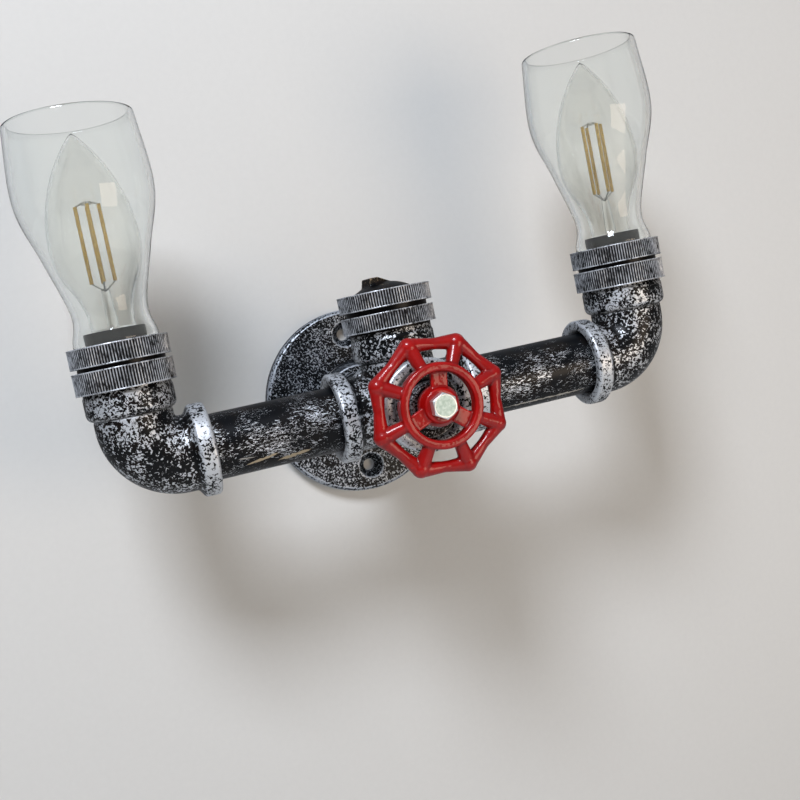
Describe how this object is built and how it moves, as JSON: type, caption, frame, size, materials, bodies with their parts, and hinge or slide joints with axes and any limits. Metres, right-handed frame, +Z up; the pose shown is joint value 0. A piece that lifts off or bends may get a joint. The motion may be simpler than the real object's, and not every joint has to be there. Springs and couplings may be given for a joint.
{
  "type": "industrial pipe wall light",
  "caption": "Wall light of iron pipe and fittings: flange, cross, two pipes, threaded cups with knurled rings, clear glass shades, lamps and a red handwheel.",
  "frame": {"origin": "centre of the wall flange's back face, on the wall", "axes": "+X along the pipes to the right, +Z up, +Y into the wall"},
  "size_m": [0.2754, 0.137, 0.181],
  "materials": {
    "flange_iron": "antique silver brushed over black",
    "fitting_iron": "antique silver brushed over black",
    "pipe_steel": "antique silver brushed over black",
    "ring_metal": "aged silver on black knurling",
    "plug_bronze": "dark bronze",
    "red_enamel": "gloss red enamel",
    "zinc_steel": "bright zinc plate",
    "spindle_steel": "turned steel",
    "spring_steel": "phosphated spring steel",
    "gasket_rubber": "matt black",
    "clear_glass": "clear",
    "lamp_glass": "clear",
    "filament": "warm yellow coating",
    "holder_ceramic": "glazed white",
    "brass": "bright",
    "lamp_cap_metal": "satin",
    "terminal_plastic": "moulded white",
    "lead_sheath": "matt black"
  },
  "bodies": {
    "lamp": {"wall_flange": "flange_iron", "rear_nipple": "pipe_steel", "terminal_block": "terminal_plastic", "terminal_screws": "brass", "center_fitting": "fitting_iron", "center_cup": "fitting_iron", "top_plug": "plug_bronze", "front_bushing": "fitting_iron", "left_pipe": "pipe_steel", "left_elbow": "fitting_iron", "left_cup": "fitting_iron", "left_shade_gasket": "gasket_rubber", "left_glass_shade": "clear_glass", "left_lampholder_nipple": "zinc_steel", "left_lampholder_nut": "zinc_steel", "left_lampholder": "holder_ceramic", "left_screw_shell": "brass", "left_center_contact": "brass", "left_lamp_cap": "lamp_cap_metal", "left_lamp_glass": "lamp_glass", "left_filament_mount": "filament", "left_lead": "lead_sheath", "right_pipe": "pipe_steel", "right_elbow": "fitting_iron", "right_cup": "fitting_iron", "right_shade_gasket": "gasket_rubber", "right_glass_shade": "clear_glass", "right_lampholder_nipple": "zinc_steel", "right_lampholder_nut": "zinc_steel", "right_lampholder": "holder_ceramic", "right_screw_shell": "brass", "right_center_contact": "brass", "right_lamp_cap": "lamp_cap_metal", "right_lamp_glass": "lamp_glass", "right_filament_mount": "filament", "right_lead": "lead_sheath"},
    "wheel": {"handwheel": "red_enamel", "handwheel_bolt": "zinc_steel", "valve_stem": "spindle_steel", "stem_clip": "spring_steel"},
    "center_lock_ring_body": {"center_lock_ring": "ring_metal"},
    "center_plug_ring_body": {"center_plug_ring": "ring_metal"},
    "left_lock_ring_body": {"left_lock_ring": "ring_metal"},
    "left_shade_ring_body": {"left_shade_ring": "ring_metal"},
    "right_lock_ring_body": {"right_lock_ring": "ring_metal"},
    "right_shade_ring_body": {"right_shade_ring": "ring_metal"}
  },
  "joints": [
    {"name": "handwheel_turn", "type": "hinge", "parent": "lamp", "child": "wheel", "pos_m": [0, -0.1284, 0], "axis": [0, -1, 0], "continuous": true},
    {"name": "center_lock_ring_turn", "type": "hinge", "parent": "lamp", "child": "center_lock_ring_body", "pos_m": [0, -0.0854, 0.035], "axis": [0, 0, 1], "continuous": true},
    {"name": "center_plug_ring_turn", "type": "hinge", "parent": "lamp", "child": "center_plug_ring_body", "pos_m": [0, -0.0854, 0.0446], "axis": [0, 0, 1], "continuous": true},
    {"name": "left_lock_ring_turn", "type": "hinge", "parent": "lamp", "child": "left_lock_ring_body", "pos_m": [-0.1103, -0.0854, 0.035], "axis": [0, 0, 1], "continuous": true},
    {"name": "left_shade_ring_turn", "type": "hinge", "parent": "lamp", "child": "left_shade_ring_body", "pos_m": [-0.1103, -0.0854, 0.0446], "axis": [0, 0, 1], "continuous": true},
    {"name": "right_lock_ring_turn", "type": "hinge", "parent": "lamp", "child": "right_lock_ring_body", "pos_m": [0.1103, -0.0854, 0.035], "axis": [0, 0, 1], "continuous": true},
    {"name": "right_shade_ring_turn", "type": "hinge", "parent": "lamp", "child": "right_shade_ring_body", "pos_m": [0.1103, -0.0854, 0.0446], "axis": [0, 0, 1], "continuous": true}
  ]
}
